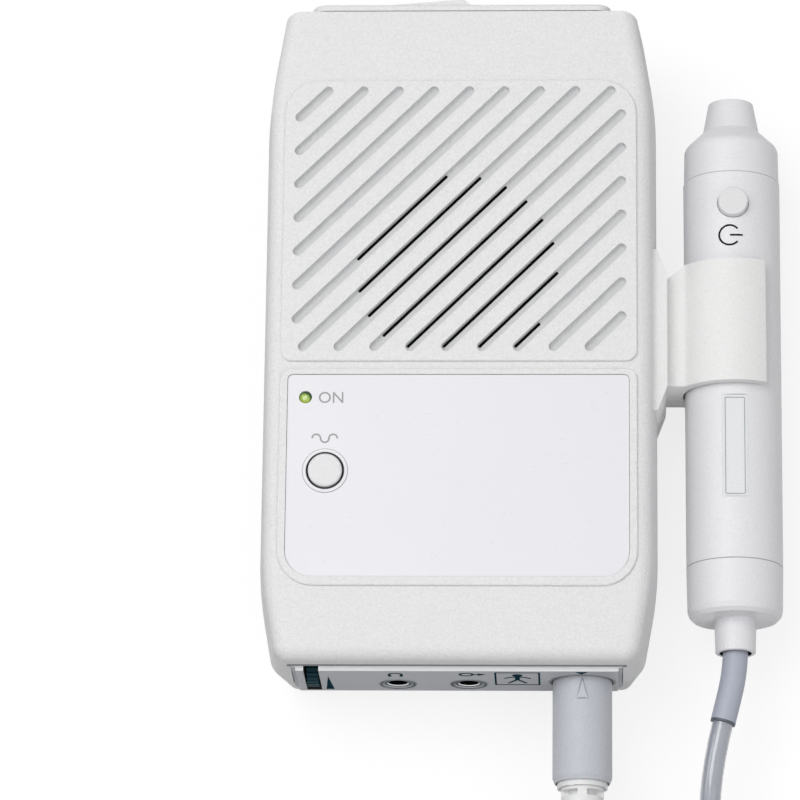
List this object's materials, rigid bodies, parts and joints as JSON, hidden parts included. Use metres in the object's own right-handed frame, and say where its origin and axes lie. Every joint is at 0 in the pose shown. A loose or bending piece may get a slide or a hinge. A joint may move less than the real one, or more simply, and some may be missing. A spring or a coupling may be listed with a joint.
{
  "type": "vascular doppler",
  "caption": "Pocket vascular doppler: box with loudspeaker grille, volume wheel and jacks, and a pencil probe on a cord, held in a side clip.",
  "frame": {"origin": "on the flat back face that the unit lies on, on its middle line, 67 mm below the top end", "axes": "+Z out of the front face, +Y to the top end with the battery cover, +X to the side with the probe"},
  "size_m": [0.1123, 0.2527, 0.0325],
  "materials": {
    "case_plastic": "fine matt off-white moulding",
    "panel_plastic": "matt grey-white moulding",
    "plate_film": "smooth satin film, faint lavender white",
    "cap_plastic": "satin light grey",
    "lamp_lens": "green-yellow tinted lens",
    "wheel_plastic": "dark teal",
    "holder_plastic": "warm off-white moulding",
    "probe_plastic": "satin off-white moulding",
    "lens_resin": "cast resin",
    "label_film": "bare film",
    "sleeve_rubber": "bluish grey, matt",
    "cord_sheath": "glossy translucent grey",
    "relief_plastic": "white soft plastic",
    "plug_plastic": "satin grey",
    "socket_plastic": "satin grey",
    "ring_metal": "bright plated",
    "black_plastic": "black",
    "speaker_paper": "dark paper cone",
    "steel": "plain steel",
    "contact_metal": "gold-plated brass",
    "board_laminate": "green laminate",
    "crystal": "piezo ceramic",
    "battery_metal": "plain dark can"
  },
  "bodies": {
    "unit": {"front_shell": "case_plastic", "back_shell": "case_plastic", "end_panel": "panel_plastic", "face_plate": "plate_film", "cal_switch": "black_plastic", "power_led": "lamp_lens", "speaker_screen": "black_plastic", "speaker_frame": "steel", "speaker_cone": "speaker_paper", "speaker_magnet": "steel", "main_board": "board_laminate", "board_screws": "steel", "shield_can": "steel", "volume_pot": "steel", "phones_jack": "black_plastic", "phones_jack_bush": "ring_metal", "record_jack": "black_plastic", "record_jack_bush": "ring_metal", "probe_socket": "socket_plastic", "socket_nut": "socket_plastic", "socket_insert": "socket_plastic", "socket_contacts": "contact_metal", "battery": "battery_metal", "battery_snap": "black_plastic", "case_screws": "steel", "rating_label": "label_film", "probe_holder": "holder_plastic", "holder_screws": "steel"},
    "cal_button": {"cal_button": "cap_plastic"},
    "wheel": {"volume_wheel": "wheel_plastic", "wheel_spindle": "steel", "wheel_screw": "steel"},
    "battery_cover": {"battery_cover": "case_plastic"},
    "cord_set": {"plug_core": "plug_plastic", "plug_pins": "contact_metal", "collet_nut": "plug_plastic", "bend_relief": "relief_plastic", "cord_plug_run": "cord_sheath", "cord_coil": "cord_sheath", "cord_probe_run": "cord_sheath"},
    "latch_sleeve": {"plug_sleeve": "plug_plastic"},
    "probe": {"probe_nose": "probe_plastic", "probe_lens": "lens_resin", "crystal_pair": "crystal", "crystal_backing": "lens_resin", "probe_barrel": "probe_plastic", "probe_end_cap": "probe_plastic", "probe_label": "label_film", "probe_switch": "black_plastic", "probe_board": "board_laminate", "cord_clamp": "black_plastic", "cord_sleeve": "sleeve_rubber"},
    "probe_button": {"probe_button": "cap_plastic"}
  },
  "joints": [
    {"name": "cal_press", "type": "slide", "parent": "unit", "child": "cal_button", "axis": [0, 0, -1], "range_m": [0, 0.0008], "stiffness_N_per_m": 300, "springref_m": -0.0003},
    {"name": "volume_turn", "type": "hinge", "parent": "unit", "child": "wheel", "pos_m": [-0.0275, -0.0568, 0.017], "axis": [1, 0, 0], "range_deg": [-150, 150]},
    {"name": "cover_slide", "type": "slide", "parent": "unit", "child": "battery_cover", "axis": [0, 1, 0], "range_m": [0, 0.036]},
    {"name": "plug_pull", "type": "slide", "parent": "unit", "child": "cord_set", "axis": [0, -1, 0], "range_m": [0, 0.0085]},
    {"name": "latch_slide", "type": "slide", "parent": "cord_set", "child": "latch_sleeve", "axis": [0, -1, 0], "range_m": [0, 0.0015], "stiffness_N_per_m": 400, "springref_m": -0.0005},
    {"name": "probe_lift", "type": "slide", "parent": "cord_set", "child": "probe", "axis": [0, 1, 0], "range_m": [0, 0.075]},
    {"name": "probe_press", "type": "slide", "parent": "probe", "child": "probe_button", "axis": [0, 0, -1], "range_m": [0, 0.0008], "stiffness_N_per_m": 300, "springref_m": -0.0003}
  ]
}
